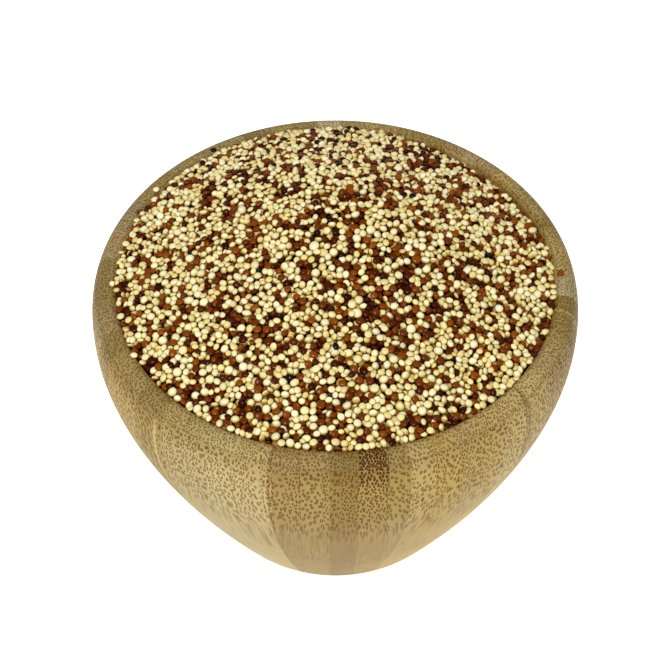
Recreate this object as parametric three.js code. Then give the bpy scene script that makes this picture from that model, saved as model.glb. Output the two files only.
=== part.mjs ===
// A round bowl turned from laminated bamboo, heaped full with mixed white and red quinoa.
// Millimetres, +Z up. The origin is the centre of the flat base that the bowl stands on.
// Two solids: the bowl, and the heap of grain that fills it and domes above its rim.

import * as THREE from 'three';

// ---- Driving dimensions ----

// The bowl's outside.
const RIM_HEIGHT = 80;
const BELLY_RADIUS = 60;          // widest, a little below the rim
const BELLY_DROP = 12;            // from the rim plane down to the belly
const BASE_RADIUS = 36.5;         // where the wall would meet the base without its eased edge
const BASE_EDGE = 1.2;            // radius of that edge
const WALL_FLARE = 0.49;          // how far the wall leans out for each millimetre of height at the base
const BELLY_PULL = 14;            // how long the wall stays upright below the belly
const BASE_PULL = 30;             // how long it keeps its flare above the base

// The rim, flat on top and eased over on both sides.
const RIM_FLAT_RADIUS = 55;
const RIM_OUTER_PULL = 3.6;
const MOUTH_RADIUS = 53.3;
const MOUTH_EDGE = 0.8;

// The bowl's inside.
const FLOOR_THICKNESS = 8;
const MOUTH_PULL = 30;            // how long the inside stays upright below the mouth
const FLOOR_PULL = 36;            // how far the round floor reaches out

// The heap, a poured cone with a rounded peak.
const FIT_GAP = 0.4;              // between the grain and the wood
const HEAP_EDGE_RISE = 0.2;       // mean level of the grain at the mouth, above the rim plane
const CROWN = 14.5;               // how far the peak stands above the edge
const PEAK_BACK = 11;             // from the axis back to the peak
const PEAK_ROUND = 0.3;           // 0 is a sharp cone, more is rounder
const SWELL = 0.45;               // low uneven swells of the poured surface
const SLUMP = 2.3;                // the edge lies this much lower at the back right
const SLUMP_ANGLE = 132;          // degrees from the front, towards +X
const SLUMP_SPAN = 44;            // degrees to either side
const BODY_DROP = 4.5;            // from the rim plane down to the grain's plain part
const BUMP_SPACING = 2.18;        // one bump for each grain that shows
const GRAIN_RISE = 0.5;           // a grain's top above the heap's mean surface
const GRAIN_SINK = 0.5;           // the hollow between grains below it
const GRAIN_SCATTER = 0.26;       // how far a grain lies off the even pattern
const GRAIN_SEED = 7;

// Fineness.
const BOWL_SIDES = 64;
const WALL_STEPS = 5;
const RIM_STEPS = 4;
const EDGE_STEPS = 2;
const INSIDE_STEPS = 5;
const HEAP_SIDES = 64;

const EXACT = 1e-6;               // points nearer than this are one point

// ---- Outlines, as points of radius and height ----

const point = (radius, height) => new THREE.Vector2(radius, height);

const bezier = (start, pullFromStart, pullToEnd, end, steps) =>
  new THREE.CubicBezierCurve(start, pullFromStart, pullToEnd, end).getPoints(steps);

// A quarter-round corner of the given radius about a centre, from one angle to another.
function arc(centreRadius, centreHeight, radius, fromAngle, toAngle, steps) {
  const curve = new THREE.EllipseCurve(
    centreRadius,
    centreHeight,
    radius,
    radius,
    fromAngle,
    toAngle,
    toAngle < fromAngle,
  );
  return curve.getPoints(steps);
}

function withoutRepeats(points) {
  return points.filter((p, i) => i === 0 || p.distanceTo(points[i - 1]) > EXACT);
}

// The wall outside, from the eased base edge up to the belly.
function outerWall() {
  const lean = Math.atan(WALL_FLARE);
  const turn = Math.PI / 2 - lean;
  const setBack = BASE_EDGE * Math.tan(turn / 2);
  const centreRadius = BASE_RADIUS - setBack;
  const edge = arc(centreRadius, BASE_EDGE, BASE_EDGE, -Math.PI / 2, turn - Math.PI / 2, EDGE_STEPS);
  const foot = edge[edge.length - 1];
  const belly = point(BELLY_RADIUS, RIM_HEIGHT - BELLY_DROP);
  const wall = bezier(
    foot,
    point(foot.x + WALL_FLARE * BASE_PULL, foot.y + BASE_PULL),
    point(belly.x, belly.y - BELLY_PULL),
    belly,
    WALL_STEPS,
  );
  return [...edge, ...wall];
}

// The rim, from the belly over the flat top to the mouth.
function rim() {
  const outer = bezier(
    point(BELLY_RADIUS, RIM_HEIGHT - BELLY_DROP),
    point(BELLY_RADIUS, RIM_HEIGHT - RIM_OUTER_PULL),
    point(RIM_FLAT_RADIUS + RIM_OUTER_PULL, RIM_HEIGHT),
    point(RIM_FLAT_RADIUS, RIM_HEIGHT),
    RIM_STEPS,
  );
  const inner = arc(
    MOUTH_RADIUS + MOUTH_EDGE,
    RIM_HEIGHT - MOUTH_EDGE,
    MOUTH_EDGE,
    Math.PI / 2,
    Math.PI,
    EDGE_STEPS,
  );
  return [...outer, ...inner];
}

// The inside, from the mouth down to the middle of the floor, drawn in by an inset.
function inside(inset) {
  const mouth = point(MOUTH_RADIUS - inset, RIM_HEIGHT - MOUTH_EDGE);
  const floor = FLOOR_THICKNESS + inset;
  return bezier(
    mouth,
    point(mouth.x, mouth.y - MOUTH_PULL),
    point(FLOOR_PULL, floor),
    point(0, floor),
    INSIDE_STEPS,
  );
}

// ---- The bowl ----

function bowlGeometry() {
  const outline = withoutRepeats([
    point(0, 0),
    ...outerWall(),
    ...rim(),
    ...inside(0),
  ]);
  const geometry = new THREE.LatheGeometry(outline, BOWL_SIDES);
  return geometry.rotateX(Math.PI / 2);
}

// ---- The heap ----

// The same draws each time, from 0 to 1.
function drawsFrom(seed) {
  let state = seed;
  return () => {
    state = (state + 0x6d2b79f5) | 0;
    let mixed = Math.imul(state ^ (state >>> 15), 1 | state);
    mixed = (mixed + Math.imul(mixed ^ (mixed >>> 7), 61 | mixed)) ^ mixed;
    return ((mixed ^ (mixed >>> 14)) >>> 0) / 4294967296;
  };
}

// How far the edge has slumped in a direction, from 0 to 1.
function slumpShare(x, y) {
  const angle = THREE.MathUtils.radToDeg(Math.atan2(x, -y));
  const aside = Math.min(1, Math.abs(angle - SLUMP_ANGLE) / SLUMP_SPAN);
  return Math.cos((aside * Math.PI) / 2) ** 2;
}

// How far out a place lies, from 0 at the peak to 1 at the mouth's edge.
function outFromPeak(x, y) {
  const toY = y - PEAK_BACK;
  const along = toY * PEAK_BACK;
  const far = Math.max(x * x + toY * toY, EXACT);
  const spare = MOUTH_RADIUS ** 2 - PEAK_BACK ** 2;
  return Math.min(1, far / (Math.sqrt(along * along + far * spare) - along));
}

// The mean height of the poured surface.
function heapLevel(x, y) {
  const out = outFromPeak(x, y);
  const fall = (Math.hypot(out, PEAK_ROUND) - PEAK_ROUND) / (Math.hypot(1, PEAK_ROUND) - PEAK_ROUND);
  const swell = Math.sin(x / 11 + 1) * Math.cos(y / 13) + 0.6 * Math.sin((x + 2 * y) / 17);
  const uneven = SWELL * swell * (1 - out ** 4) - SLUMP * slumpShare(x, y) * out ** 4;
  return RIM_HEIGHT + HEAP_EDGE_RISE + CROWN * (1 - fall) + uneven;
}

// The grain's radius along the wall at a height near the mouth.
function edgeRadiusAt(height) {
  const [mouth, below] = inside(FIT_GAP);
  const down = Math.max(0, (mouth.y - height) / (mouth.y - below.y));
  return mouth.x + (below.x - mouth.x) * down;
}

// Rings of points about the middle, six more in each ring, as discs pack.
// Every third point is the top of a grain, with six hollows round it.
function heapTop() {
  const draw = drawsFrom(GRAIN_SEED);
  const scatter = () => GRAIN_SCATTER * (2 * draw() - 1);
  const edgeRadius = MOUTH_RADIUS - FIT_GAP;
  const ringCount = Math.round((edgeRadius * Math.sqrt(3)) / BUMP_SPACING);
  const rings = [];
  for (let k = ringCount; k >= 1; k -= 1) {
    const ring = [];
    const radius = (edgeRadius * k) / ringCount;
    const atEdge = k === ringCount;
    for (let i = 0; i < 6 * k; i += 1) {
      const angle = (2 * Math.PI * i) / (6 * k);
      const turned = angle + scatter() / radius;
      const reach = radius + (atEdge ? 0 : scatter());
      const isGrain = (k + (i % k)) % 3 === 0;
      const relief = isGrain ? GRAIN_RISE + scatter() : -GRAIN_SINK + scatter();
      const level = heapLevel(reach * Math.cos(turned), reach * Math.sin(turned));
      const height = level + relief;
      const placed = atEdge ? edgeRadiusAt(height) : reach;
      ring.push(new THREE.Vector3(placed * Math.cos(turned), placed * Math.sin(turned), height));
    }
    rings.push(ring);
  }
  rings.push([new THREE.Vector3(0, 0, heapLevel(0, 0) + GRAIN_RISE)]);
  return rings;
}

// Plain rings from the middle of the floor up to just below the mouth.
function heapBody() {
  const bodyTop = RIM_HEIGHT - BODY_DROP;
  const [, ...below] = inside(FIT_GAP);
  const outline = [...below.reverse(), point(edgeRadiusAt(bodyTop), bodyTop)];
  return outline.map((p, i) => {
    if (i === 0) return [new THREE.Vector3(0, 0, p.y)];
    return Array.from({ length: HEAP_SIDES }, (_, side) => {
      const angle = (2 * Math.PI * side) / HEAP_SIDES;
      return new THREE.Vector3(p.x * Math.cos(angle), p.x * Math.sin(angle), p.y);
    });
  });
}

// Joins two rings of any two counts with a band of triangles facing outwards.
function bandBetween(lower, upper, faces) {
  let i = 0;
  let j = 0;
  while (i < lower.count || j < upper.count) {
    const lowerTurn = (i + 1) * upper.count;
    const upperTurn = (j + 1) * lower.count;
    const a = lower.first + (i % lower.count);
    const b = upper.first + (j % upper.count);
    const stepsUpper = lower.count === 1 || (upper.count > 1 && upperTurn <= lowerTurn);
    if (stepsUpper) {
      faces.push(a, upper.first + ((j + 1) % upper.count), b);
      j += 1;
      if (j === upper.count && lower.count === 1) break;
    } else {
      faces.push(a, lower.first + ((i + 1) % lower.count), b);
      i += 1;
      if (i === lower.count && upper.count === 1) break;
    }
  }
}

function heapGeometry() {
  const rings = [...heapBody(), ...heapTop()];
  const points = rings.flat();
  const faces = [];
  let first = 0;
  let lower = null;
  for (const ring of rings) {
    const upper = { first, count: ring.length };
    if (lower) bandBetween(lower, upper, faces);
    lower = upper;
    first += ring.length;
  }
  const geometry = new THREE.BufferGeometry().setFromPoints(points);
  geometry.setIndex(faces);
  geometry.computeVertexNormals();
  return geometry;
}

// ---- The scene ----

function piece(name, geometry, material) {
  const mesh = new THREE.Mesh(geometry, material);
  mesh.name = name;
  return mesh;
}

const bamboo = new THREE.MeshStandardMaterial({ color: 0xa08650, roughness: 0.5, metalness: 0 });
const quinoa = new THREE.MeshStandardMaterial({ color: 0xc2a878, roughness: 0.7, metalness: 0 });

const group = new THREE.Group();
group.add(piece('bowl', bowlGeometry(), bamboo));
group.add(piece('quinoa', heapGeometry(), quinoa));

export default group;
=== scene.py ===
"""A laminated bamboo bowl heaped with mixed quinoa, dressed for the studio.

Lengths are in millimetres until a mesh is made, and heights are above the surface that the
bowl stands on. -Y faces the camera.
"""

import math
from typing import NamedTuple

import bpy
import numpy as np
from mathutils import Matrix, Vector


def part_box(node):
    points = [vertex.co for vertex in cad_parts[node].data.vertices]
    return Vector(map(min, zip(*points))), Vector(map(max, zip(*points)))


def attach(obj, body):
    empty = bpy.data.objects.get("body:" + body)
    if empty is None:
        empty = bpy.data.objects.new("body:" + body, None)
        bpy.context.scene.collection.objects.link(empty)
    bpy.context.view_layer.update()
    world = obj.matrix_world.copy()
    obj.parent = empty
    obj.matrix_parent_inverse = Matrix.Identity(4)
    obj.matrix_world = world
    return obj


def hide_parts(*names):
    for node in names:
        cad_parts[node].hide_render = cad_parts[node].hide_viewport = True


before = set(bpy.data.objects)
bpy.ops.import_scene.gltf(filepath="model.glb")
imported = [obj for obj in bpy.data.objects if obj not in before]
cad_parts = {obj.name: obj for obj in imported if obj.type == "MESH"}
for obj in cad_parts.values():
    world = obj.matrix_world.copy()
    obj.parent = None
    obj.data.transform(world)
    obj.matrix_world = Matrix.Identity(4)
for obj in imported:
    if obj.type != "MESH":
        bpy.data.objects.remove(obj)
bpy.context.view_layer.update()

MM = 0.001

# ---- Sizes of the bowl, read from the frame where it holds them ----

BOWL_LOW, BOWL_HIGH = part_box("bowl")
HEAP_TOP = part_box("quinoa")[1].z / MM - 0.02    # just inside the CAD box
RIM_HEIGHT = BOWL_HIGH.z / MM
BELLY_RADIUS = BOWL_HIGH.x / MM
BELLY_DROP = 12.0
BASE_RADIUS = 36.5
BASE_EDGE = 1.2
WALL_FLARE = 0.49
BELLY_PULL = 14.0
BASE_PULL = 30.0
RIM_FLAT_RADIUS = 55.0
RIM_OUTER_PULL = 3.6
MOUTH_RADIUS = 53.3
MOUTH_EDGE = 0.8
FLOOR_THICKNESS = 8.0
MOUTH_PULL = 30.0
FLOOR_PULL = 36.0

# How finely its outline and its round are made.
BASE_STEPS = 5
EDGE_STEPS = 8
WALL_STEPS = 56
RIM_STEPS = 28
INSIDE_STEPS = 24
BOWL_SIDES = 288

# ---- The heap's surface ----

HEAP_EDGE_RISE = 0.2
CROWN = 14.5
PEAK_BACK = 11.0                # from the axis back to the peak
PEAK_ROUND = 0.3
SWELL = 0.45
SLUMP = 2.3                     # the edge lies this much lower at the back right
SLUMP_ANGLE = math.radians(132)
SLUMP_SPAN = math.radians(44)
EXACT = 1e-6                    # keeps a division off zero

# ---- Small helpers ----


def smooth(value, low, high):
    """0 below low, 1 above high, with a soft turn between them."""
    t = np.clip((value - low) / (high - low), 0, 1)
    return t * t * (3 - 2 * t)


def linear(red, green, blue):
    """A colour given as 0 to 255 screen values, as linear light."""
    screen = np.array([red, green, blue]) / 255
    return np.where(screen <= 0.04045, screen / 12.92, ((screen + 0.055) / 1.055) ** 2.4)


def rgba(red, green, blue):
    return (*linear(red, green, blue), 1.0)


def mesh_piece(name, points, faces, material, smooth_shaded=True):
    """A mesh object from points in millimetres and face arrays, each of one corner count."""
    mesh = bpy.data.meshes.new(name)
    corners = np.concatenate([f.ravel() for f in faces]).astype(np.int32)
    counts = np.concatenate([np.full(len(f), f.shape[1]) for f in faces])
    starts = np.concatenate([[0], np.cumsum(counts)[:-1]]).astype(np.int32)
    mesh.vertices.add(len(points))
    mesh.vertices.foreach_set("co", (np.asarray(points) * MM).astype(np.float32).ravel())
    mesh.loops.add(len(corners))
    mesh.loops.foreach_set("vertex_index", corners)
    mesh.polygons.add(len(starts))
    mesh.polygons.foreach_set("loop_start", starts)
    mesh.polygons.foreach_set("use_smooth", np.full(len(starts), smooth_shaded))
    mesh.update(calc_edges=True)
    mesh.validate()
    mesh.materials.append(material)
    piece = bpy.data.objects.new(name, mesh)
    bpy.context.scene.collection.objects.link(piece)
    return piece


class Num:
    """A number in a material's node tree. Arithmetic on it adds Math nodes."""

    def __init__(self, tree, socket):
        self.tree = tree
        self.socket = socket

    def math(self, operation, *others):
        node = self.tree.nodes.new("ShaderNodeMath")
        node.operation = operation
        for slot, value in zip(node.inputs, (self, *others)):
            put(self.tree, slot, value)
        return Num(self.tree, node.outputs[0])

    def __add__(self, other):
        return self.math("ADD", other)

    def __sub__(self, other):
        return self.math("SUBTRACT", other)

    def __mul__(self, other):
        return self.math("MULTIPLY", other)

    def __truediv__(self, other):
        return self.math("DIVIDE", other)

    __radd__ = __add__
    __rmul__ = __mul__

    def __rsub__(self, other):
        return (self * -1) + other

    def equals(self, whole):
        """1 where this is the whole number, else 0."""
        return self.math("COMPARE", float(whole), 0.5)

    def toward(self, other, share):
        """This, moved by a share of the way to another number."""
        return self + share * (other - self)

    def ramp(self, low, high):
        """0 below low, 1 above high, with a soft turn between them."""
        node = self.tree.nodes.new("ShaderNodeMapRange")
        node.interpolation_type = "SMOOTHSTEP"
        for slot, value in zip(node.inputs, (self, low, high, 0.0, 1.0)):
            put(self.tree, slot, value)
        return Num(self.tree, node.outputs[0])


def put(tree, slot, value):
    """Sets an input to a number or colour, or links it to a Num or a socket."""
    if isinstance(value, Num):
        tree.links.new(value.socket, slot)
    elif isinstance(value, bpy.types.NodeSocket):
        tree.links.new(value, slot)
    else:
        slot.default_value = value


def node_with(tree, kind, inputs, **settings):
    """A node of the given kind with its settings made and its named inputs filled."""
    node = tree.nodes.new(kind)
    for key, value in settings.items():
        setattr(node, key, value)
    for key, value in inputs.items():
        put(tree, node.inputs[key], value)
    return node


def vector(tree, x, y, z):
    return node_with(tree, "ShaderNodeCombineXYZ", {0: x, 1: y, 2: z}).outputs[0]


def random_of(tree, x, y, z=0.0):
    """Three numbers from 0 to 1, fixed for each triple of whole numbers."""
    noise = node_with(tree, "ShaderNodeTexWhiteNoise", {"Vector": vector(tree, x, y, z)})
    parts = node_with(tree, "ShaderNodeSeparateColor", {0: noise.outputs["Color"]})
    return [Num(tree, out) for out in parts.outputs[:3]]


def noise_at(tree, place, scale=1.0, detail=2.0, roughness=0.5):
    node = node_with(
        tree,
        "ShaderNodeTexNoise",
        {"Vector": place, "Scale": scale, "Detail": detail, "Roughness": roughness},
    )
    return Num(tree, node.outputs[0])


def mixed(tree, factor, first, second, blend="MIX"):
    """A colour between two colours."""
    node = tree.nodes.new("ShaderNodeMix")
    node.data_type = "RGBA"
    node.blend_type = blend
    put(tree, node.inputs[0], factor)
    put(tree, node.inputs[6], first)
    put(tree, node.inputs[7], second)
    return node.outputs[2]


def material_with_shader(name):
    material = bpy.data.materials.new(name)
    material.use_nodes = True
    return material, material.node_tree, material.node_tree.nodes["Principled BSDF"]


def place_in_mm(tree):
    """The object coordinates as three Nums, in millimetres."""
    coordinates = tree.nodes.new("ShaderNodeTexCoord")
    parts = node_with(tree, "ShaderNodeSeparateXYZ", {0: coordinates.outputs["Object"]})
    return [Num(tree, out) * (1 / MM) for out in parts.outputs]


# ---- Outlines and rings of points ----


def bezier(start, pull_from_start, pull_to_end, end, steps):
    t = np.linspace(0, 1, steps + 1)[:, None]
    a, b, c, d = (np.array(p, float) for p in (start, pull_from_start, pull_to_end, end))
    return a * (1 - t) ** 3 + 3 * b * t * (1 - t) ** 2 + 3 * c * t**2 * (1 - t) + d * t**3


def arc(centre_radius, centre_height, radius, from_angle, to_angle, steps):
    angle = np.linspace(from_angle, to_angle, steps + 1)
    return np.stack(
        [centre_radius + radius * np.cos(angle), centre_height + radius * np.sin(angle)], 1
    )


def bands_up(rings, sides):
    """Quads between rings of points, each ring above the one before, facing outwards."""
    here = np.arange(sides)
    there = (here + 1) % sides
    bands = []
    for ring in range(rings - 1):
        low = ring * sides
        high = low + sides
        bands.append(np.stack([low + here, low + there, high + there, high + here], 1))
    return np.concatenate(bands)


def fan_up(centre, start, sides):
    """Triangles from a centre to the ring whose points start at a number, facing up."""
    here = np.arange(sides)
    return np.stack([np.full(sides, centre), start + here, start + (here + 1) % sides], 1)


def fan_down(centre, start, sides):
    return fan_up(centre, start, sides)[:, [0, 2, 1]]


# ---- The bowl's shape ----


def bowl_outline():
    """Radius and height, from the middle of the base over the rim to the middle of the floor."""
    turn = math.pi / 2 - math.atan(WALL_FLARE)
    set_back = BASE_EDGE * math.tan(turn / 2)
    edge = arc(
        BASE_RADIUS - set_back,
        BASE_EDGE,
        BASE_EDGE,
        -math.pi / 2,
        turn - math.pi / 2,
        EDGE_STEPS,
    )
    foot = edge[-1]
    belly = np.array([BELLY_RADIUS, RIM_HEIGHT - BELLY_DROP])
    wall = bezier(
        foot,
        foot + np.array([WALL_FLARE, 1]) * BASE_PULL,
        belly - np.array([0, BELLY_PULL]),
        belly,
        WALL_STEPS,
    )
    rim = bezier(
        belly,
        (BELLY_RADIUS, RIM_HEIGHT - RIM_OUTER_PULL),
        (RIM_FLAT_RADIUS + RIM_OUTER_PULL, RIM_HEIGHT),
        (RIM_FLAT_RADIUS, RIM_HEIGHT),
        RIM_STEPS,
    )
    lip = arc(
        MOUTH_RADIUS + MOUTH_EDGE,
        RIM_HEIGHT - MOUTH_EDGE,
        MOUTH_EDGE,
        math.pi / 2,
        math.pi,
        EDGE_STEPS,
    )
    mouth = lip[-1]
    inside = bezier(
        mouth,
        mouth - np.array([0, MOUTH_PULL]),
        (FLOOR_PULL, FLOOR_THICKNESS),
        (0, FLOOR_THICKNESS),
        INSIDE_STEPS,
    )
    base = np.linspace(0, edge[0][0], BASE_STEPS + 1)[:-1]
    base_rings = np.stack([base, np.zeros(BASE_STEPS)], 1)
    return np.concatenate([base_rings, edge, wall[1:], rim[1:], lip, inside[1:]])


def turned(outline, sides):
    """Points and faces of an outline turned about Z. It starts and ends on the axis."""
    angle = np.arange(sides) * 2 * math.pi / sides
    rings = outline[1:-1]
    points = np.stack(
        [
            rings[:, :1] * np.sin(angle),
            rings[:, :1] * -np.cos(angle),
            np.repeat(rings[:, 1:], sides, 1),
        ],
        2,
    ).reshape(-1, 3)
    poles = [[0, 0, outline[0][1]], [0, 0, outline[-1][1]]]
    bottom = fan_down(len(points), 0, sides)
    top = fan_up(len(points) + 1, (len(rings) - 1) * sides, sides)
    return np.concatenate([points, poles]), [bands_up(len(rings), sides), bottom, top]


# ---- The bamboo ----

# The bowl is glued up from staves, each a stack of flat strips whose fibres lean outwards.
JOINT_ANGLES = (-14.4, 16.4, 48.6, 78.0, 107.0, 137.5, 168.0, 198.5, 228.0, 257.0, 286.5, 316.4)
STRIP_WIDTH = 6.5
FIBRE_LEAN = math.radians(18.5)

# Colour of each strip's wall, how much of its width the dense bundles take, and whether a
# dotted line runs down its seam.
STRIPS = (
    ((187, 164, 100), 0.45, 0),
    ((167, 143, 86), 0.62, 1),
    ((169, 147, 88), 0.25, 0),
    ((154, 130, 70), 0.65, 0),
    ((169, 144, 81), 1.00, 1),
    ((171, 150, 86), 0.20, 0),
    ((188, 170, 119), 0.60, 0),
    ((189, 174, 126), 0.60, 0),
    ((197, 182, 134), 0.60, 0),
    ((197, 179, 129), 0.70, 0),
    ((190, 168, 106), 0.35, 0),
    ((189, 163, 94), 0.45, 0),
    ((185, 162, 98), 0.50, 0),
    ((191, 167, 97), 0.40, 0),
    ((198, 178, 112), 0.45, 0),
    ((177, 154, 99), 0.60, 1),
)
POROUS_STRIP = 4                # of open dark pores, in the front stave only
FRONT_STAVE = 0
# Staves whose strips are known: number, shift of the strips, the middle strip's and the last
# strip's place in STRIPS, and the tint of their end grain.
KNOWN_STAVES = (
    (FRONT_STAVE, 8.75, 2, 5, (1.0, 1.0, 1.06)),
    (11, 0.0, 8, 9, (0.97, 0.95, 0.80)),
    (1, 4.4, 12, 15, (1.07, 1.08, 1.20)),
)
# The end grain of each of the other staves, from the third on, against RIM_SHADE.
OTHER_RIMS = (
    (1.17, 1.22, 1.38), (1.20, 1.25, 1.38), (1.35, 1.43, 1.75), (1.22, 1.28, 1.50),
    (1.18, 1.26, 1.50), (1.03, 1.12, 1.45), (1.0, 1.0, 1.02), (0.90, 0.92, 0.97),
    (0.92, 0.92, 1.07),
)
KNOWN_JOINTS = ((0, 0.9), (1, 0.12), (11, 0.0))     # number, how dark the glue line is
PALE_JOINT = 11                 # its line is pale

# The fibre bundles, which show as small rings. Distances are across the fibres.
SPARSE_SPACING = 1.12           # in the loose part of a strip
DENSE_SPACING = 0.80
RIM_LINE = 30.0                 # the rim's denser bundles end here
RIM_DENSER = 0.27
CLOSE_FROM = 30.0               # rows of bundles lie closer beyond this
CLOSE_OVER = 3.5                # and reach their closest after this much more
CLOSER = 1.15
UNTIDY = 0.7                    # how far a bundle strays in its cell, from 0 to 1
RING_RADIUS = 0.15              # in cells, and on the rim more by the next
RING_MORE_ON_RIM = 0.035
RING_FADE = (0.04, 0.115)       # from the ring's line, in cells

# What the wood's colour is multiplied by.
RIM_SHADE = (0.74, 0.74, 0.78)          # on end grain
MARK_TINT = (0.33, 0.21, 0.0, 1.0)      # on a fibre bundle
PORE_TINT = (0.22, 0.10, 0.0, 1.0)      # and on the porous strip's
FOOT_TINT = (0.92, 0.905, 0.85, 1.0)    # low on the front
INSIDE_PAINTED_SHADE = (0.66, 0.58, 0.45, 1.0)   # painted shade inside the mouth

STREAK_COLOUR = (150, 112, 62)
CLOUD_COLOUR = (196, 164, 124)
PITH_COLOUR = (222, 200, 146)
VEIN_COLOUR = (130, 86, 36)
SEAM_COLOUR = (84, 52, 12)
# painted shade: the dark band under the rim
UNDER_RIM_SHADE_COLOUR = (116, 80, 30)
GLUE_COLOUR = (92, 56, 16)
PALE_GLUE_COLOUR = (214, 196, 146)
RIM_LINE_COLOUR = (110, 76, 30)
RIM_LINE_RADIUS = 57.9
CRACK_COLOUR = (142, 98, 24)
CRACK_MIDDLE = 8.3              # across the front stave
CRACK_HEIGHT = 78.0
# Blemishes: place, size, colour, strength.
BLEMISHES = (
    ((23.8, -54.6, 63.0), 1.3, (146, 98, 40), 0.55),
    ((-23.4, -53.8, 57.0), 0.9, (104, 92, 74), 0.6),
)


def strip_table(tree, place):
    """The colour, dense share and seam line of the strip at a place in STRIPS."""
    node = tree.nodes.new("ShaderNodeValToRGB")
    ramp = node.color_ramp
    ramp.interpolation = "CONSTANT"
    count = len(STRIPS)
    for k, (colour, dense, lined) in enumerate(STRIPS):
        stop = ramp.elements[0] if k == 0 else ramp.elements.new(k / count)
        stop.position = k / count
        # The alpha holds both: the dense share up to 0.49, and 0.5 more for a line.
        stop.color = (*linear(*colour), 0.49 * dense + 0.5 * lined)
    ramp.elements.remove(ramp.elements[-1])
    put(tree, node.inputs[0], (place + 0.5) / count)
    both = Num(tree, node.outputs[1])
    lined = both.math("GREATER_THAN", 0.495)
    return node.outputs[0], (both - lined * 0.5) / 0.49, lined


class Bamboo:
    """The bamboo's pattern on the bowl, as Nums of one node tree."""

    def __init__(self, tree):
        self.tree = tree
        self.x, self.y, self.z = place_in_mm(tree)
        self.radius = (self.x * self.x + self.y * self.y).math("SQRT")
        self.find_stave()
        self.find_strip()
        self.find_cut()
        self.jitter = self.noise(self.across * 0.9, self.deep * 0.9, self.start * 10, 1.0)
        self.fibre = self.noise(self.across * 1.6, self.deep * 1.6, self.along * 0.06, 3.0)
        self.find_bundles()
        dots = self.noise(self.stave * 7, self.strip * 3, self.deep * 2.2, 1.0)
        self.dots = dots.ramp(0.42, 0.58) * self.z.ramp(44.0, 60.0)

    def noise(self, x, y, z, detail):
        return noise_at(self.tree, vector(self.tree, x, y, z), 1.0, detail)

    def laid_on(self, ground, share, colour):
        """The ground with a share of a colour over it."""
        return mixed(self.tree, share, ground, rgba(*colour))

    def find_stave(self):
        """The stave's number, its joints' angles, and the place along and across its fibres."""
        angle = self.x.math("ARCTAN2", -1 * self.y) * (180 / math.pi)
        angle = (angle - JOINT_ANGLES[0]).math("FLOORED_MODULO", 360.0) + JOINT_ANGLES[0]
        joints = [*JOINT_ANGLES, JOINT_ANGLES[0] + 360]
        stave = angle * 0
        low = angle * 0 + joints[0]
        high = angle * 0 + joints[1]
        for k in range(1, len(joints) - 1):
            past = angle.math("GREATER_THAN", joints[k])
            stave = stave + past
            low = low + past * (joints[k] - joints[k - 1])
            high = high + past * (joints[k + 1] - joints[k])
        middle = (low + high) * (math.pi / 360)
        self.sine = middle.math("SINE")
        self.cosine = middle.math("COSINE")
        self.across = self.x * self.cosine + self.y * self.sine
        self.outward = self.x * self.sine - self.y * self.cosine
        self.deep = self.outward * math.cos(FIBRE_LEAN) - self.z * math.sin(FIBRE_LEAN)
        self.along = self.outward * math.sin(FIBRE_LEAN) + self.z * math.cos(FIBRE_LEAN)
        self.stave = stave
        self.past_low = angle - low
        self.before_high = high - angle

    def find_strip(self):
        """The strip's number and values, how far across it, and the stave's end grain tint."""
        stave_tone, shift, turned_over = random_of(self.tree, self.stave + 3, 1.0)
        shift = shift * STRIP_WIDTH
        turned_over = turned_over.math("GREATER_THAN", 0.5)
        rim_tint = [stave_tone * 0.3 + 0.85] * 3
        for number, known_shift, _, _, known_tint in KNOWN_STAVES:
            here = self.stave.equals(number)
            rim_tint = [own.toward(known, here) for own, known in zip(rim_tint, known_tint)]
            shift = shift.toward(known_shift, here)
            turned_over = turned_over.toward(float(number != FRONT_STAVE), here)
        for number, differs in enumerate(OTHER_RIMS, 2):
            here = self.stave.equals(number)
            rim_tint = [own * (here * (part - 1) + 1) for own, part in zip(rim_tint, differs)]
        self.rim_tint = [own * part for own, part in zip(rim_tint, RIM_SHADE)]
        shifted = (self.across + shift) / STRIP_WIDTH
        self.strip = shifted.math("FLOOR")
        over = shifted - self.strip
        self.over = over + turned_over * (1 - over * 2)
        pick, self.start, self.tone = random_of(self.tree, self.stave + 7, self.strip + 50)
        place = (pick * len(STRIPS)).math("FLOOR")
        place = place + place.equals(POROUS_STRIP)
        for number, _, first, last, _ in KNOWN_STAVES:
            known = (self.strip + first).math("MINIMUM", float(last))
            place = place.toward(known, self.stave.equals(number))
        self.wood, self.dense, self.lined = strip_table(self.tree, place)
        self.porous = self.dense.ramp(0.9, 0.99)

    def find_cut(self):
        """How squarely the surface cuts the fibres: 1 is end grain."""
        coordinates = self.tree.nodes.new("ShaderNodeTexCoord")
        facing = node_with(
            self.tree, "ShaderNodeSeparateXYZ", {0: coordinates.outputs["Normal"]}
        )
        out_x, out_y, out_z = [Num(self.tree, out) for out in facing.outputs]
        outward = out_x * self.sine - out_y * self.cosine
        cut = outward * math.sin(FIBRE_LEAN) + out_z * math.cos(FIBRE_LEAN)
        self.cut = cut.math("ABSOLUTE")
        self.end_grain = self.cut.ramp(0.36, 0.80)

    def find_cell(self, crowded, on_rim):
        """The bundle's cell: the place from its middle, and two random numbers of its own."""
        spacing = crowded * (DENSE_SPACING - SPARSE_SPACING) + SPARSE_SPACING
        spacing = spacing * (1 - on_rim * RIM_DENSER)
        past = (self.deep - CLOSE_FROM).math("MAXIMUM", 0.0)
        near = past.math("MINIMUM", CLOSE_OVER)
        closer = near * (CLOSER / CLOSE_OVER)
        gained = near * near * (CLOSER / CLOSE_OVER / 2) + (past - near) * CLOSER
        cell_v = (self.deep + gained) / spacing + self.start * 91
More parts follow.
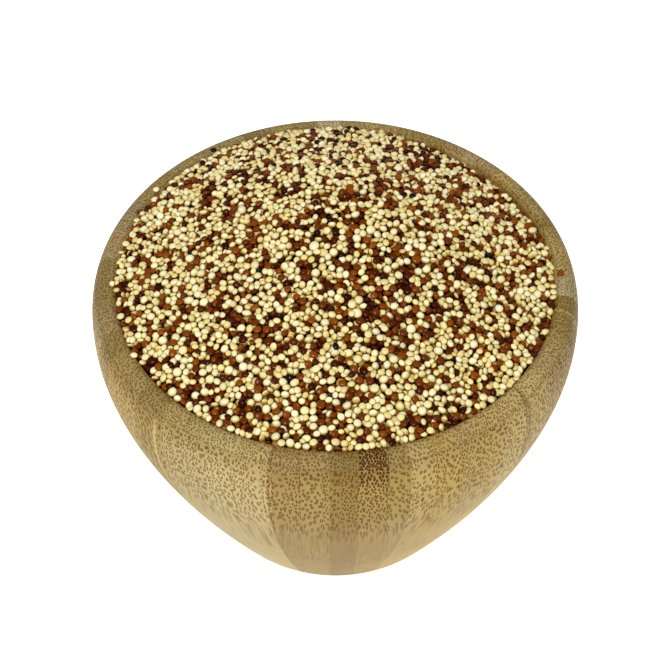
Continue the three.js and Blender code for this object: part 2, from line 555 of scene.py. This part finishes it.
        # Half a cell over for each row, so that the rows are staggered.
        cell_u = self.across / spacing + self.start * 37 + cell_v * 0.5
        cells = node_with(
            self.tree,
            "ShaderNodeTexVoronoi",
            {"Vector": vector(self.tree, cell_u, cell_v, 0.0), "Scale": 1.0, "Randomness": UNTIDY},
            voronoi_dimensions="2D",
            feature="F1",
        )
        centre = node_with(
            self.tree, "ShaderNodeSeparateXYZ", {0: cells.outputs["Position"]}
        )
        own = node_with(self.tree, "ShaderNodeSeparateColor", {0: cells.outputs["Color"]})
        strong, narrow = [Num(self.tree, out) for out in own.outputs[:2]]
        off_v = cell_v - Num(self.tree, centre.outputs[1])
        off_u = cell_u - Num(self.tree, centre.outputs[0]) - off_v * 0.5
        # A slanting cut draws a bundle out, but less than it does the rows.
        drawn_out = self.cut.math("MAXIMUM", 0.3).math("POWER", -1.0) * 0.3 + 0.45
        return off_u, off_v * drawn_out / (closer + 1), strong, narrow

    def find_bundles(self):
        """How dark the bundles' marks are: rings, or discs on end grain and open pores."""
        crowded = (self.over + (self.jitter - 0.5) * 0.35).math("GREATER_THAN", 1 - self.dense)
        on_rim = self.deep.math("LESS_THAN", RIM_LINE)
        off_u, off_v, strong, narrow = self.find_cell(crowded, on_rim)
        off_u = off_u * (narrow * 0.25 + 0.7 + (crowded + on_rim).math("MINIMUM", 1.0) * 0.2)
        off = (off_u * off_u + off_v * off_v).math("SQRT")
        ring = (off - RING_RADIUS - on_rim * RING_MORE_ON_RIM).math("ABSOLUTE") - crowded * 0.02
        ring = 1 - ring.ramp(*RING_FADE)
        side = (off_u / (off + 0.01)).math("ABSOLUTE").math("POWER", 1.5) * 0.65 + 0.5
        disc = 1 - (off - self.porous * (on_rim * 0.1 + 0.04)).ramp(0.2, 0.36)
        fill = self.porous * self.z.ramp(73.0, 78.0) + self.end_grain * 0.25
        fill = fill.math("MINIMUM", 1.0)
        mark = (ring * side * (1 - fill) + disc * fill).math("MINIMUM", 1.0)
        mark = mark * (strong * 0.4 + 1.1) * (self.fibre.ramp(0.2, 0.5) * 0.3 + 0.8)
        mark = (mark * (self.porous * 0.4 + 0.95 - on_rim * 0.05)).math("MINIMUM", 1.0)
        self.mark = mark * (self.z.ramp(37.0, 67.0) * 0.94 + 0.06)
        self.pith = (1 - off.ramp(0.06, 0.2)) * (1 - fill) * 0.22 * strong

    def ground(self):
        """The wood without its marks and lines, with painted shade inside the mouth."""
        tree, x, y, z = self.tree, self.x, self.y, self.z
        foot = (1 - z.ramp(40.0, 54.0)) * (1 - x.math("ABSOLUTE").ramp(16.0, 30.0))
        wood = mixed(tree, foot, self.wood, FOOT_TINT, "MULTIPLY")
        # Painted shade on the inner wall and lip of the mouth.
        inside = (1 - self.radius.ramp(53.4, 55.0)) * z.math("GREATER_THAN", 70.0)
        wood = mixed(tree, inside, wood, INSIDE_PAINTED_SHADE, "MULTIPLY")
        end_tint = vector(tree, *self.rim_tint)
        ground = mixed(tree, self.end_grain, wood, end_tint, "MULTIPLY")
        ground = self.laid_on(ground, self.fibre.ramp(0.4, 0.75) * 0.22, STREAK_COLOUR)
        cloud = self.noise(x * 0.06, y * 0.06, z * 0.06, 2.0)
        return self.laid_on(ground, cloud.ramp(0.5, 0.75) * 0.25, CLOUD_COLOUR)

    def with_bundles(self, ground):
        """The bundles' marks and pale middles, and the long dark fibres low on the wall."""
        x, y, z = self.x, self.y, self.z
        ground = self.laid_on(ground, self.pith, PITH_COLOUR)
        vein = self.noise(self.across * 1.3, self.deep * 0.9, self.along * 0.025, 2.0)
        vein = 1 - (vein - 0.5).math("ABSOLUTE").ramp(0.0, 0.045)
        patch = self.noise(x * 0.08, y * 0.08, z * 0.08 + 9, 1.0).ramp(0.4, 0.6)
        vein = vein * (1 - z.ramp(50.0, 62.0)) * z.ramp(14.0, 34.0) * patch
        ground = self.laid_on(ground, vein * 0.75, VEIN_COLOUR)
        tint = mixed(self.tree, self.porous * z.ramp(60.0, 78.0), MARK_TINT, PORE_TINT)
        marked = mixed(self.tree, 1.0, ground, tint, "MULTIPLY")
        return mixed(self.tree, self.mark, ground, marked)

    def with_seams_and_rim_shade(self, ground):
        """The dotted lines between strips, and a dark band of painted shade under the rim."""
        to_edge = ((self.over - 0.5).math("ABSOLUTE") * -1 + 0.5) * STRIP_WIDTH
        line = (1 - to_edge.ramp(0.1, 0.3)) * self.over.math("GREATER_THAN", 0.5) * self.lined
        ground = self.laid_on(ground, line * (self.dots * 0.75 + 0.1), SEAM_COLOUR)
        # Painted shade: a dark band just under the rim.
        below = self.deep - RIM_LINE
        under_rim_shade = below.ramp(0.0, 0.5) * (1 - below.ramp(1.6, 3.4))
        under_rim_shade = under_rim_shade * (self.tone * 0.1 + self.dense.ramp(0.5, 0.65) * 0.1)
        return self.laid_on(ground, under_rim_shade, UNDER_RIM_SHADE_COLOUR)

    def with_joints(self, ground):
        """The glue lines between staves."""
        nearest = self.past_low.math("MINIMUM", self.before_high)
        away = nearest * (math.pi / 180) * self.radius
        joint = self.stave + self.past_low.math("GREATER_THAN", self.before_high)
        joint = joint.math("FLOORED_MODULO", float(len(JOINT_ANGLES)))
        strength = random_of(self.tree, joint + 20, 5.0)[0] * 0.5 + 0.1
        for number, known in KNOWN_JOINTS:
            strength = strength.toward(known, joint.equals(number))
        line = (1 - away.ramp(0.12, 0.55)) * (self.dots * 0.75 + 0.2)
        ground = self.laid_on(ground, line * strength, GLUE_COLOUR)
        pale = (1 - away.ramp(0.25, 0.6)) * self.z.ramp(40.0, 60.0) * (1 - self.end_grain)
        return self.laid_on(ground, pale * joint.equals(PALE_JOINT) * 0.6, PALE_GLUE_COLOUR)

    def with_rim_line_crack_and_blemishes(self, ground):
        """The line round the rim, the hairline crack under it, and the blemishes."""
        x, y, z = self.x, self.y, self.z
        rim_line = 1 - (self.radius - RIM_LINE_RADIUS).math("ABSOLUTE").ramp(0.08, 0.32)
        ground = self.laid_on(ground, rim_line * z.ramp(76.0, 78.0) * 0.25, RIM_LINE_COLOUR)
        arch = ((self.across - CRACK_MIDDLE) * 0.4).math("POWER", 2.0) * 0.4
        off = z - CRACK_HEIGHT + arch + (self.fibre - 0.5) * 1.2
        crack = 1 - off.math("ABSOLUTE").ramp(0.03, 0.15)
        crack = crack * self.across.ramp(5.6, 6.4) * (1 - self.across.ramp(9.9, 10.9))
        crack = crack * self.stave.equals(FRONT_STAVE) * self.outward.math("GREATER_THAN", 0.0)
        ground = self.laid_on(ground, crack * 0.7, CRACK_COLOUR)
        for place, size, colour, strength in BLEMISHES:
            away = (x - place[0]).math("POWER", 2.0) + (y - place[1]).math("POWER", 2.0)
            away = (away + (z - place[2]).math("POWER", 2.0) * 0.4).math("SQRT")
            spot = 1 - (away / size + (self.jitter - 0.5) * 1.2).ramp(0.3, 1.0)
            ground = self.laid_on(ground, spot * strength, colour)
        return ground


def bamboo_material():
    material, tree, shader = material_with_shader("bamboo")
    bamboo = Bamboo(tree)
    ground = bamboo.with_bundles(bamboo.ground())
    ground = bamboo.with_joints(bamboo.with_seams_and_rim_shade(ground))
    put(tree, shader.inputs["Base Color"], bamboo.with_rim_line_crack_and_blemishes(ground))
    rough = bamboo.fibre * 0.2 + bamboo.mark * 0.15 + 0.42
    put(tree, shader.inputs["Roughness"], rough)
    put(tree, shader.inputs["Specular IOR Level"], 0.12)
    height = bamboo.fibre * 0.4 - bamboo.mark * 0.6
    bump = node_with(
        tree, "ShaderNodeBump", {"Height": height, "Distance": 0.05 * MM, "Strength": 1.0}
    )
    put(tree, shader.inputs["Normal"], bump.outputs[0])
    return material


# ---- The grain ----

CELL = 0.13                     # of the height grid that the grains are dropped on
GRID_HALF = int(round((MOUTH_RADIUS + 3.5) / CELL))
GRID_WIDTH = 2 * GRID_HALF + 1
STAND_OUT = 0.5                 # how far a grain may stand above the heap's surface
OVERHANG = 0.5                  # how far a grain may reach past the mouth's edge
HEAP_SEED = 11
SHAPES = 72                     # different grains of each kind and lie
HEADINGS = 8                    # directions of slope that grains lie along
SLOPE = math.radians(16)        # how steeply they lie along it
PLACES_TRIED = 48               # for each grain, of which the lowest few are looked at
PLACES_KEPT = 2
GRAINS_TRIED = 2                # at each of those
REFUSALS = 900                  # in a row, and the heap is full
MOST_GRAINS = 9000
# Waves that gather a kind in patches: rate along x and y, start.
CLUSTER_WAVES = ((0.11, 0.07, 1.3), (-0.05, 0.13, 4.0), (0.19, -0.16, 2.2))
CLUSTERING = 0.05               # how much they sway the pick of a kind

# name, share, width, spread of width, thickness to width, spread, colours
KINDS = (
    ("ivory", 0.305, 2.22, 0.22, 0.66, 0.07, ((254, 252, 216), (250, 246, 198))),
    ("cream", 0.255, 2.06, 0.22, 0.55, 0.06, ((251, 246, 197), (242, 233, 172))),
    ("straw", 0.11, 1.92, 0.20, 0.47, 0.05, ((245, 236, 173), (233, 217, 143))),
    ("black", 0.003, 1.98, 0.12, 0.55, 0.06, ((28, 19, 14), (18, 12, 9))),
    ("red", 0.28, 2.12, 0.19, 0.53, 0.07, ((144, 73, 6), (92, 36, 2))),
    ("maroon", 0.12, 2.02, 0.18, 0.53, 0.07, ((88, 33, 3), (48, 13, 2))),
)
KIND_NAMES = [kind[0] for kind in KINDS]
SHARES = np.cumsum([kind[1] for kind in KINDS])
GLOSS = {"red": 0.15, "maroon": 0.10, "black": 0.15}    # of the dark kinds
PALE_GLOSS = 0.26

# Radius and height along a grain's profile, from near its top to near its underside.
GRAIN_PROFILE = (
    (0.42, 0.94), (0.66, 0.815), (0.80, 0.68), (0.93, 0.43), (1.0, 0.0), (0.84, -0.62),
    (0.44, -0.93),
)
GRAIN_SIDES = 11
BURIED_PROFILE = ((0.70, 0.74), (1.0, 0.0), (0.70, -0.74))
BURIED_SIDES = 8
SEEN_CELLS = 36                 # a grain that shows more than this is made finely
HIDDEN_CELLS = 3                # one that shows less than this is left out

PAINTED_GAP_SHADE = np.array([1.7, 2.6, 4.6])       # painted shade, for light lost in the gaps between grains
GAP_SHADE_DEPTHS = (0.3, 1.9)                   # below the heap's surface
PAINTED_SIDE_SHADE = np.array([0.46, 0.82, 1.80])      # and painted shade on the sides of the pale ones
DARK_KIND_SIDE_SHADE = 0.6                         # of that painted side shade on the dark ones
RING_SHADE = np.array([0.12, 0.22, 0.40])     # off the groove round a grain
GERM_SHADE = np.array([0.38, 0.58, 0.80])     # off the germ's tip, where it shows
GERM_SHARE = 0.45                             # of the grains show it
# Grains that lie on the rim: kind, radius, degrees from the front.
STRAYS = (
    ("ivory", 54.0, -85.4), ("red", 54.8, 89.6), ("cream", 53.6, -60.3),
    ("ivory", 54.2, -122.2), ("red", 54.0, -113.0), ("maroon", 54.7, -144.0),
)

# The core, behind the grains that show, coloured near black as painted shade in the gaps.
CORE_DEPTH = 2.4                # below the heap's surface
CORE_FLOOR = 60.0               # height of its flat underside
CORE_GAP = 0.35                 # to the bowl's inside
CORE_SIDES = 180
CORE_RINGS = 60


def heap_level(x, y):
    """The mean height of the poured surface: a rounded cone over the mouth."""
    to_y = y - PEAK_BACK
    along = to_y * PEAK_BACK
    far = np.maximum(x * x + to_y * to_y, EXACT)
    spare = MOUTH_RADIUS**2 - PEAK_BACK**2
    out = np.minimum(1, far / (np.sqrt(along * along + far * spare) - along))
    cone = (np.hypot(out, PEAK_ROUND) - PEAK_ROUND) / (math.hypot(1, PEAK_ROUND) - PEAK_ROUND)
    swell = np.sin(x / 11 + 1) * np.cos(y / 13) + 0.6 * np.sin((x + 2 * y) / 17)
    aside = np.minimum(1, np.abs(np.arctan2(x, -y) - SLUMP_ANGLE) / SLUMP_SPAN)
    slump = SLUMP * np.cos(aside * math.pi / 2) ** 2
    rise = CROWN * (1 - cone) + SWELL * swell * (1 - out**4) - slump * out**4
    return RIM_HEIGHT + HEAP_EDGE_RISE + rise


def turn_matrices(spin, tilt, heading):
    """Rotations: spin about the grain's own axis, then a tilt, then a heading about Z."""

    def about_z(a):
        m = np.zeros((len(a), 3, 3))
        m[:, 0, 0] = m[:, 1, 1] = np.cos(a)
        m[:, 1, 0] = np.sin(a)
        m[:, 0, 1] = -m[:, 1, 0]
        m[:, 2, 2] = 1
        return m

    lean = np.zeros((len(tilt), 3, 3))
    lean[:, 0, 0] = lean[:, 2, 2] = np.cos(tilt)
    lean[:, 0, 2] = np.sin(tilt)
    lean[:, 2, 0] = -lean[:, 0, 2]
    lean[:, 1, 1] = 1
    return about_z(heading) @ lean @ about_z(spin)


class Grain(NamedTuple):
    """A grain as it lies: half-axes, rotation, and its sides over the height grid's cells."""

    size: np.ndarray
    turn: np.ndarray
    cells: np.ndarray
    low: np.ndarray
    high: np.ndarray


def grains_to_drop(rng):
    """For each kind and each lie, a number of different grains."""
    kinds = []
    for _, _, width, spread, flat, flat_spread, _ in KINDS:
        lies = []
        for lie in range(HEADINGS + 1):
            long = (width + spread * rng.standard_normal(SHAPES)) / 2
            wide = long * rng.uniform(0.78, 1.0, SHAPES)
            thick = long * np.clip(flat + flat_spread * rng.standard_normal(SHAPES), 0.4, 0.85)
            axes = np.stack([long, wide, thick], 1)
            tilt = np.radians(84) * rng.random(SHAPES) ** 1.2
            turns = turn_matrices(
                rng.uniform(0, 2 * math.pi, SHAPES), tilt, rng.uniform(0, 2 * math.pi, SHAPES)
            )
            if lie < HEADINGS:
                down = np.full(1, lie * 2 * math.pi / HEADINGS)
                turns = turn_matrices(-down, np.full(1, SLOPE), down) @ turns
            lies.append([grain_on_cells(size, turn) for size, turn in zip(axes, turns)])
        kinds.append(lies)
    return kinds


def grain_on_cells(size, turn):
    """The grain's ellipsoid, solved for its lower and upper side over each cell."""
    form = turn @ np.diag(1 / size**2) @ turn.T
    reach = int(math.ceil(size[0] / CELL))
    steps = np.arange(-reach, reach + 1)
    j, i = np.meshgrid(steps, steps)
    dx, dy = i * CELL, j * CELL
    a = form[2, 2]
    b = form[0, 2] * dx + form[1, 2] * dy
    c = form[0, 0] * dx**2 + 2 * form[0, 1] * dx * dy + form[1, 1] * dy**2 - 1
    room = b * b - a * c
    inside = room > 0
    root = np.sqrt(room[inside])
    low = (-b[inside] - root) / a
    high = (-b[inside] + root) / a
    cells = (i[inside] * GRID_WIDTH + j[inside]).astype(np.int64)
    return Grain(size, turn, cells, low, high)


class HeightGrid:
    """Heights over a square that holds the bowl's mouth, on which grains come to rest."""

    def __init__(self):
        steps = (np.arange(GRID_WIDTH) - GRID_HALF) * CELL
        y, x = np.meshgrid(steps, steps)
        radius = np.hypot(x, y)
        level = heap_level(x, y)
        fall_x, fall_y = np.gradient(-level, CELL)
        lie = np.round(np.arctan2(fall_y, fall_x) * HEADINGS / (2 * math.pi)) % HEADINGS
        lie[(np.hypot(fall_x, fall_y) < 0.15) | (radius > MOUTH_RADIUS - 1)] = HEADINGS
        lip = np.clip(MOUTH_RADIUS + MOUTH_EDGE - radius, 0, MOUTH_EDGE)
        rim = RIM_HEIGHT - MOUTH_EDGE + np.sqrt(MOUTH_EDGE**2 - lip**2)
        self.height = np.where(radius < MOUTH_RADIUS, level - CORE_DEPTH, rim).ravel()
        self.owner = np.full(GRID_WIDTH**2, -1)
        self.level = level.ravel()
        self.lie = lie.astype(int).ravel()

    def at(self, i, j):
        return (i + GRID_HALF) * GRID_WIDTH + j + GRID_HALF

    def rest(self, grain, i, j):
        """The height of a grain's middle where it touches what lies below."""
        return (self.height[self.at(i, j) + grain.cells] - grain.low).max()

    def lay(self, grain, i, j, z, number):
        """Raises the grid to a grain's upper side, and notes whose it is."""
        under = self.at(i, j) + grain.cells
        self.height[under] = z + grain.high
        self.owner[under] = number


def low_places(rng, grid):
    """The lowest of some random places, against the level that the heap should reach."""
    r = MOUTH_RADIUS * np.sqrt(rng.random(PLACES_TRIED))
    a = rng.uniform(0, 2 * math.pi, PLACES_TRIED)
    i = np.round(r * np.cos(a) / CELL).astype(int)
    j = np.round(r * np.sin(a) / CELL).astype(int)
    cells = grid.at(i, j)
    best = np.argsort(grid.height[cells] - grid.level[cells])[:PLACES_KEPT]
    return [(int(i[k]), int(j[k])) for k in best]


def pick_kind(rng, place):
    x, y = place[0] * CELL, place[1] * CELL
    cluster = sum(math.sin(p * x + q * y + start) for p, q, start in CLUSTER_WAVES)
    pick = min(max(rng.random() + CLUSTERING * cluster, 0), 0.9999)
    return int(np.searchsorted(SHARES, pick * SHARES[-1]))


def settle(grid, grain, i, j, limit):
    """The lowest rest near a place: the grain slides to a lower neighbour while there is one."""
    z = grid.rest(grain, i, j)
    step = 3
    while step:
        moved = False
        for di, dj in ((step, 0), (-step, 0), (0, step), (0, -step)):
            if math.hypot(i + di, j + dj) * CELL > limit:
                continue
            there = grid.rest(grain, i + di, j + dj)
            if there < z - 0.01:
                z, i, j, moved = there, i + di, j + dj, True
                break
        if not moved:
            step -= 2 if step > 1 else 1
    return z, i, j


def best_rest(rng, grid, lies, places):
    """Tries some grains of a kind at the places, and returns the one that comes lowest."""
    options = []
    for i, j in places:
        lie = lies[grid.lie[grid.at(i, j)]]
        for n in rng.integers(SHAPES, size=GRAINS_TRIED):
            grain = lie[n]
            limit = MOUTH_RADIUS + OVERHANG - 0.9 * grain.size[0]
            far = math.hypot(i, j) * CELL
            start = (i, j)
            if far > limit:
                start = (int(i * limit / far), int(j * limit / far))
            options.append((*settle(grid, grain, *start, limit), grain))
    return min(options, key=lambda o: o[0] - grid.level[grid.at(o[1], o[2])])


def drop_grains():
    """Grains settled one by one until the heap reaches its level, and the strays on the rim.

    Each is its kind's number, the grain and its place. The count of cells where it shows
    comes with it.
    """
    rng = np.random.default_rng(HEAP_SEED)
    kinds = grains_to_drop(rng)
    grid = HeightGrid()
    dropped = []

    def lay(kind, grain, i, j, z):
        grid.lay(grain, i, j, z, len(dropped))
        dropped.append((kind, grain, (i * CELL, j * CELL, z)))

    refused = 0
    while refused < REFUSALS and len(dropped) < MOST_GRAINS:
        places = low_places(rng, grid)
        kind = pick_kind(rng, places[0])
        z, i, j, grain = best_rest(rng, grid, kinds[kind], places)
        if z + grain.high.max() > min(grid.level[grid.at(i, j)] + STAND_OUT, HEAP_TOP):
            refused += 1
            continue
        refused = 0
        lay(kind, grain, i, j, z)
    for name, radius, degrees in STRAYS:
        kind = KIND_NAMES.index(name)
        i = round(radius * math.sin(math.radians(degrees)) / CELL)
        j = round(-radius * math.cos(math.radians(degrees)) / CELL)
        flat_lie = kinds[kind][HEADINGS]
        grain = min(flat_lie, key=lambda g: grid.rest(g, i, j))
        lay(kind, grain, i, j, grid.rest(grain, i, j))
    shown = np.bincount(grid.owner[grid.owner >= 0], minlength=len(dropped))
    return dropped, shown


def lens(profile, sides):
    """A unit grain: points, faces, and each point's share in the germ's groove and tip."""
    angle = np.arange(sides) * 2 * math.pi / sides
    points = np.concatenate(
        [
            np.stack([r * np.cos(angle), r * np.sin(angle), np.full(sides, h)], 1)
            for r, h in profile
        ]
        + [[[0, 0, 1.0], [0, 0, -1.0]]]
    )
    # The profile runs down, so the bands turn the other way round.
    bands = np.roll(bands_up(len(profile), sides)[:, ::-1], 1, axis=1)
    top = len(profile) * sides
    caps = np.concatenate([fan_up(top, 0, sides), fan_down(top + 1, top - sides, sides)])
    rim = np.hypot(points[:, 0], points[:, 1])
    groove = np.exp(-(((rim - 0.72) / 0.09) ** 2))
    tip = smooth(points[:, 0], 0.78, 1.0) * (np.abs(points[:, 1]) < 0.3)
    return points, bands, caps, groove, tip


def grains_in_place(unit, size, turn, place):
    """The points of grains at their places, and how far each point's normal turns up."""
    form, _, _, groove, tip = unit
    body = form[None] * (1 + 0.07 * tip[None, :, None] - 0.03 * groove[None, :, None])
    body = body * size[:, None, :]
    body = np.einsum("nij,nvj->nvi", turn, body) + place[:, None, :]
    normal = form[None] / size[:, None, :]
    upward = np.einsum("nj,nvj->nv", turn[:, 2], normal) / np.linalg.norm(normal, axis=2)
    return body, upward


def grain_colour_and_shade(rng, unit, body, upward, name, colours):
    """Each point's colour: the grain's own, less what the germ and the painted shade in the gaps
    and on the sides take off.
    """
    _, _, _, groove, tip = unit
    n = len(body)
    mix = rng.random((n, 1, 1))
    coat = (1 - mix) * linear(*colours[0]) + mix * linear(*colours[1])
    shade = 1 - 0.16 * rng.random((n, 1, 1))
    ring = 1 - RING_SHADE * groove[None, :, None] * rng.random((n, 1, 1))
    spot = 1 - GERM_SHADE * tip[None, :, None] * (rng.random((n, 1, 1)) < GERM_SHARE)
    # Painted shade: darker and warmer the deeper a point lies below the heap's surface, and on a
    # grain's sides as its normal turns from up.
    depth = heap_level(body[..., 0], body[..., 1]) - body[..., 2]
    gap_shade = np.exp(-smooth(depth, *GAP_SHADE_DEPTHS)[..., None] * PAINTED_GAP_SHADE)
    side = (1 - smooth(upward, -0.1, 0.85))[..., None] * PAINTED_SIDE_SHADE
    side = np.exp(-side * (DARK_KIND_SIDE_SHADE if name in GLOSS else 1.0))
    return coat * shade * ring * spot * gap_shade * side


def grain_pieces():
    """A piece for each kind of grain, fine where it shows and plain where it hardly does."""
    rng = np.random.default_rng(HEAP_SEED + 1)
    dropped, shown = drop_grains()
    fine = lens(GRAIN_PROFILE, GRAIN_SIDES)
    plain = lens(BURIED_PROFILE, BURIED_SIDES)
    pieces = []
    for number, (name, *_, colours) in enumerate(KINDS):
        points, bands, caps, coats = [], [], [], []
        count = 0
        for unit, wanted in ((fine, True), (plain, False)):
            mine = [
                (grain, place) for (kind, grain, place), seen in zip(dropped, shown)
                if kind == number and seen >= HIDDEN_CELLS and (seen > SEEN_CELLS) == wanted
            ]
            if not mine:
                continue
            size = np.array([grain.size for grain, _ in mine])
            turn = np.array([grain.turn for grain, _ in mine])
            place = np.array([place for _, place in mine])
            body, upward = grains_in_place(unit, size, turn, place)
            coat = grain_colour_and_shade(rng, unit, body, upward, name, colours)
            _, quads, triangles, _, _ = unit
            corners = body.shape[1]
            first = (np.arange(len(mine)) * corners + count)[:, None, None]
            points.append(body.reshape(-1, 3))
            bands.append((quads[None] + first).reshape(-1, 4))
            caps.append((triangles[None] + first).reshape(-1, 3))
            coats.append(coat.reshape(-1, 3))
            count += len(mine) * corners
        piece = mesh_piece(
            "quinoa_" + name,
            np.concatenate(points),
            [np.concatenate(bands), np.concatenate(caps)],
            grain_material(name),
        )
        coat = np.concatenate(coats)
        coat = np.concatenate([coat, np.ones((len(coat), 1))], 1).astype(np.float32)
        # The coat holds each grain's colour together with its painted shade.
        attribute = piece.data.attributes.new("coat", "FLOAT_COLOR", "POINT")
        attribute.data.foreach_set("color", coat.ravel())
        pieces.append(piece)
    return pieces


def grain_material(name):
    material, tree, shader = material_with_shader("quinoa_" + name)
    coat = node_with(tree, "ShaderNodeAttribute", {}, attribute_name="coat")
    x, y, z = place_in_mm(tree)
    mottle = noise_at(tree, vector(tree, x * 2.5, y * 2.5, z * 2.5), 1.0, 3.0)
    shade = mixed(
        tree, mottle.ramp(0.4, 0.75) * 0.3, coat.outputs["Color"], (0.62, 0.52, 0.4, 1.0),
        "MULTIPLY",
    )
    put(tree, shader.inputs["Base Color"], shade)
    put(tree, shader.inputs["Roughness"], mottle * 0.2 + (0.1 if name in GLOSS else 0.34))
    shader.inputs["Specular IOR Level"].default_value = GLOSS.get(name, PALE_GLOSS)
    return material


def core_piece():
    """The mass of grain behind the ones that show, near black as painted shade in the gaps between
    them: a relief over a plain body.
    """
    edge = MOUTH_RADIUS - CORE_GAP
    radius = np.linspace(edge, 0, CORE_RINGS + 1)[:-1]
    angle = np.arange(CORE_SIDES) * 2 * math.pi / CORE_SIDES
    r, a = np.meshgrid(radius, angle, indexing="ij")
    x = r * np.sin(a)
    y = -r * np.cos(a)
    grain = np.sin(x * 3.3 + np.sin(y * 1.7)) * np.sin(y * 3.4 + np.sin(x * 2.1))
    z = heap_level(x, y) - CORE_DEPTH + 0.25 * grain
    top = np.stack([x, y, z], 2).reshape(-1, 3)
    floor = np.full(CORE_SIDES, CORE_FLOOR)
    wall = np.stack([edge * np.sin(angle), -edge * np.cos(angle), floor], 1)
    middles = [[0, 0, CORE_FLOOR], [0, 0, heap_level(0, 0) - CORE_DEPTH]]
    points = np.concatenate([wall, top, middles])
    last = CORE_RINGS * CORE_SIDES
    bottom_middle = last + CORE_SIDES
    caps = np.concatenate(
        [
            fan_down(bottom_middle, 0, CORE_SIDES),
            fan_up(bottom_middle + 1, last, CORE_SIDES),
        ]
    )
    material, tree, shader = material_with_shader("quinoa_core")
    x, y, z = place_in_mm(tree)
    mottle = noise_at(tree, vector(tree, x, y, z), 1.0, 3.0)
    # Near black: painted shade, seen down the gaps between the grains.
    shade = mixed(tree, mottle.ramp(0.35, 0.65), rgba(28, 9, 2), rgba(14, 4, 1))
    put(tree, shader.inputs["Base Color"], shade)
    put(tree, shader.inputs["Roughness"], mottle * 0.2 + 0.6)
    shader.inputs["Specular IOR Level"].default_value = 0.1
    bands = bands_up(CORE_RINGS + 1, CORE_SIDES)
    return mesh_piece("quinoa_core", points, [bands, caps], material)


# ---- The studio ----

CAMERA_DISTANCE = 350.0         # from the middle of the rim plane
CAMERA_HEIGHT_ANGLE = math.radians(46.72)
CAMERA_PITCH = math.radians(49.21)
CAMERA_ASIDE = 0.07
FOCAL_PIXELS = 1435.0
FRAME_PIXELS = 671
SENSOR = 36.0

FLOOR_RADIUS = 8000.0
FLOOR_SIDES = 96
FLOOR_DROP = 0.02               # so that the bowl's base doesn't lie in its plane
SKY_COLOUR = (1.0, 0.84, 0.58, 1.0)
SKY_STRENGTH = 0.245
# The key light, in metres and watts.
KEY_PLACE = (-0.13, -0.41, 0.76)
KEY_TARGET = (0, 0, 0.08)
KEY_SIZE = 0.4
KEY_POWER = 6.6


def camera():
    data = bpy.data.cameras.new("camera")
    data.sensor_width = SENSOR
    data.lens = FOCAL_PIXELS * SENSOR / FRAME_PIXELS
    data.clip_start = 0.01
    made = bpy.data.objects.new("camera", data)
    bpy.context.scene.collection.objects.link(made)
    made.location = (
        CAMERA_ASIDE * MM,
        -CAMERA_DISTANCE * math.cos(CAMERA_HEIGHT_ANGLE) * MM,
        (RIM_HEIGHT + CAMERA_DISTANCE * math.sin(CAMERA_HEIGHT_ANGLE)) * MM,
    )
    made.rotation_euler = (math.pi / 2 - CAMERA_PITCH, 0, 0)
    bpy.context.scene.camera = made


def area_light(name, place, target, size, power):
    data = bpy.data.lights.new(name, "AREA")
    data.shape = "DISK"
    data.size = size
    data.energy = power
    made = bpy.data.objects.new(name, data)
    bpy.context.scene.collection.objects.link(made)
    made.location = place
    aim = np.array(target) - np.array(place)
    made.rotation_euler = Vector(aim).to_track_quat("-Z", "Y").to_euler()


def studio():
    angle = np.arange(FLOOR_SIDES) * 2 * math.pi / FLOOR_SIDES
    points = np.stack([np.cos(angle), np.sin(angle), np.zeros(FLOOR_SIDES)], 1) * FLOOR_RADIUS
    points[:, 2] = -FLOOR_DROP
    material, tree, shader = material_with_shader("floor")
    put(tree, shader.inputs["Base Color"], (1.0, 1.0, 1.0, 1.0))
    put(tree, shader.inputs["Roughness"], 0.9)
    put(tree, shader.inputs["Emission Color"], (1.0, 1.0, 1.0, 1.0))
    x, y, _ = place_in_mm(tree)
    # It glows where it is behind the bowl, and far off, so that the background is white.
    behind = (x * 0.3 + y * 0.95).ramp(-60.0, -15.0)
    far = (x * x + y * y).math("SQRT").ramp(600.0, 2000.0)
    glow = (behind * 0.66 + 0.16).math("MAXIMUM", far * 0.7)
    put(tree, shader.inputs["Emission Strength"], glow)
    floor = mesh_piece("floor", points, [np.arange(FLOOR_SIDES)[None]], material, False)
    world = bpy.data.worlds.new("studio")
    bpy.context.scene.world = world
    world.use_nodes = True
    back = world.node_tree.nodes["Background"]
    back.inputs["Color"].default_value = SKY_COLOUR
    back.inputs["Strength"].default_value = SKY_STRENGTH
    area_light("key", KEY_PLACE, KEY_TARGET, KEY_SIZE, KEY_POWER)
    bpy.context.scene.view_settings.view_transform = "Standard"


def main():
    camera()
    studio()
    bowl = mesh_piece("bamboo_bowl", *turned(bowl_outline(), BOWL_SIDES), bamboo_material())
    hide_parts("bowl")
    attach(bowl, "root")
    core = core_piece()
    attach(core, "root")
    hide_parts("quinoa")
    for piece in grain_pieces():
        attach(piece, "root")


main()
